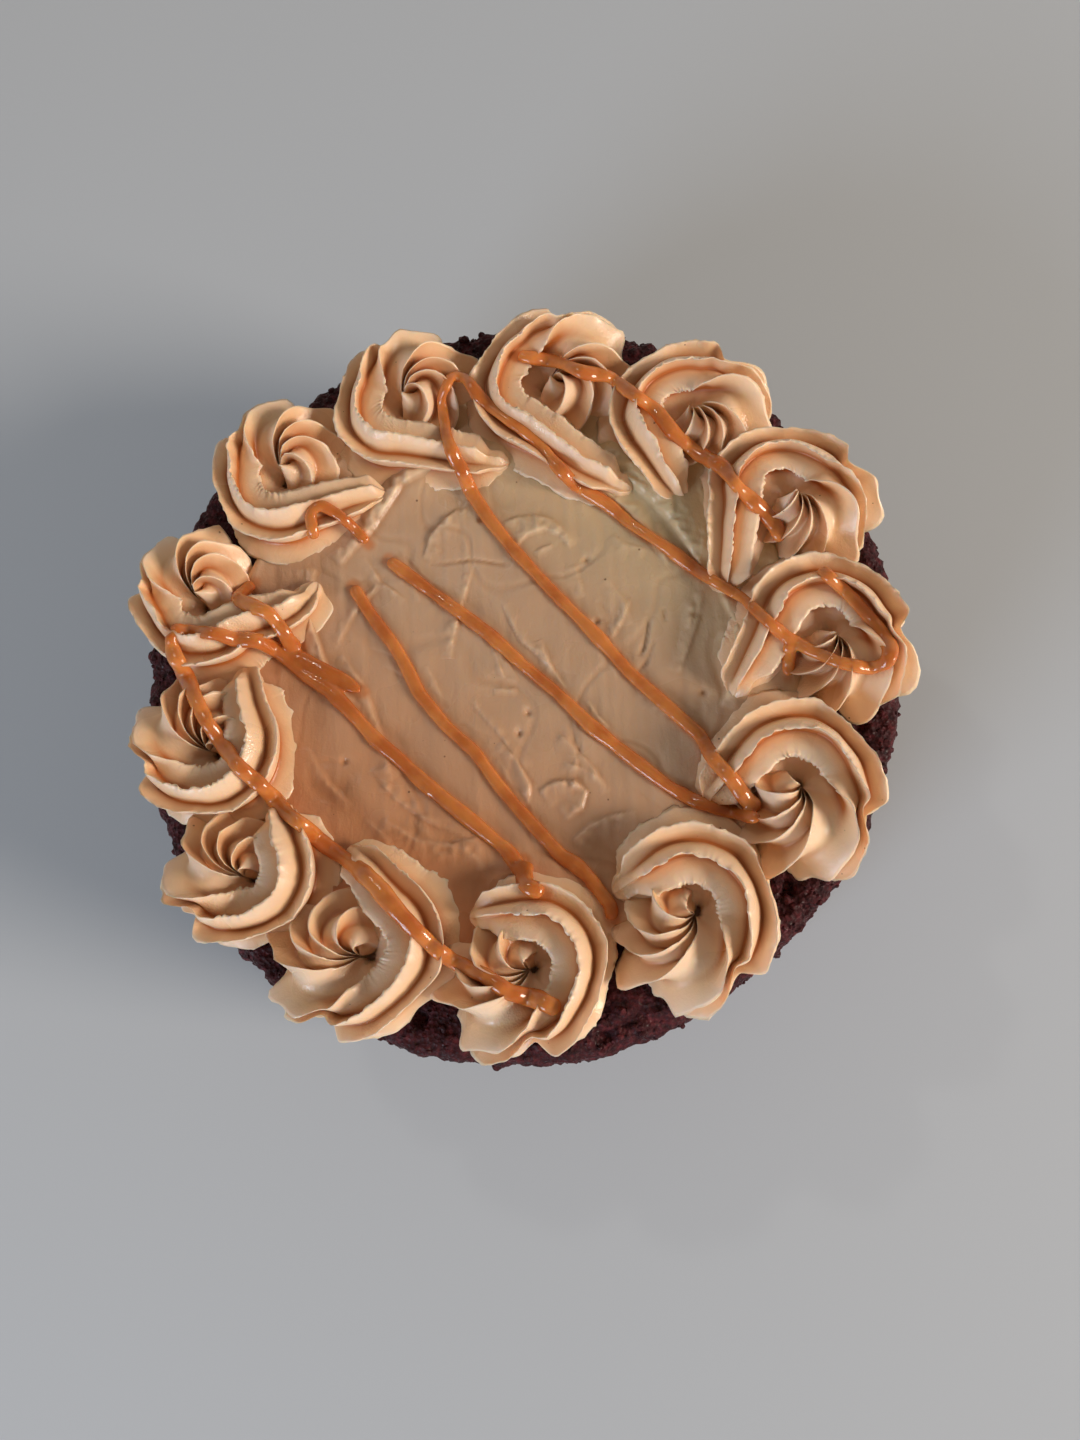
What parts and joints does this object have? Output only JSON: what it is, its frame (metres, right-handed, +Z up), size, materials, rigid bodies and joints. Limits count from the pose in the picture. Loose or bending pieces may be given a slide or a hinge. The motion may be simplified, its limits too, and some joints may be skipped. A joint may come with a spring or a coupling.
{
  "type": "layer cake",
  "caption": "Round chocolate cake with a spread buttercream top, a ring of piped star-nozzle rosettes and trailing tails.",
  "frame": {"origin": "centre of the flat underside", "axes": "+Z up through the middle of the cake, the front facing -Y"},
  "size_m": [0.2038, 0.202, 0.0876],
  "materials": {
    "sponge": "matt, open crumb",
    "buttercream": "satin, piped and spread",
    "caramel": "glossy sauce, drizzled"
  },
  "bodies": {
    "root": {"sponge": "sponge", "spread_buttercream": "buttercream", "rosette_01": "buttercream", "rosette_02": "buttercream", "rosette_03": "buttercream", "rosette_04": "buttercream", "rosette_05": "buttercream", "rosette_06": "buttercream", "rosette_07": "buttercream", "rosette_08": "buttercream", "rosette_09": "buttercream", "rosette_10": "buttercream", "rosette_11": "buttercream", "rosette_12": "buttercream", "rosette_13": "buttercream"}
  },
  "joints": []
}
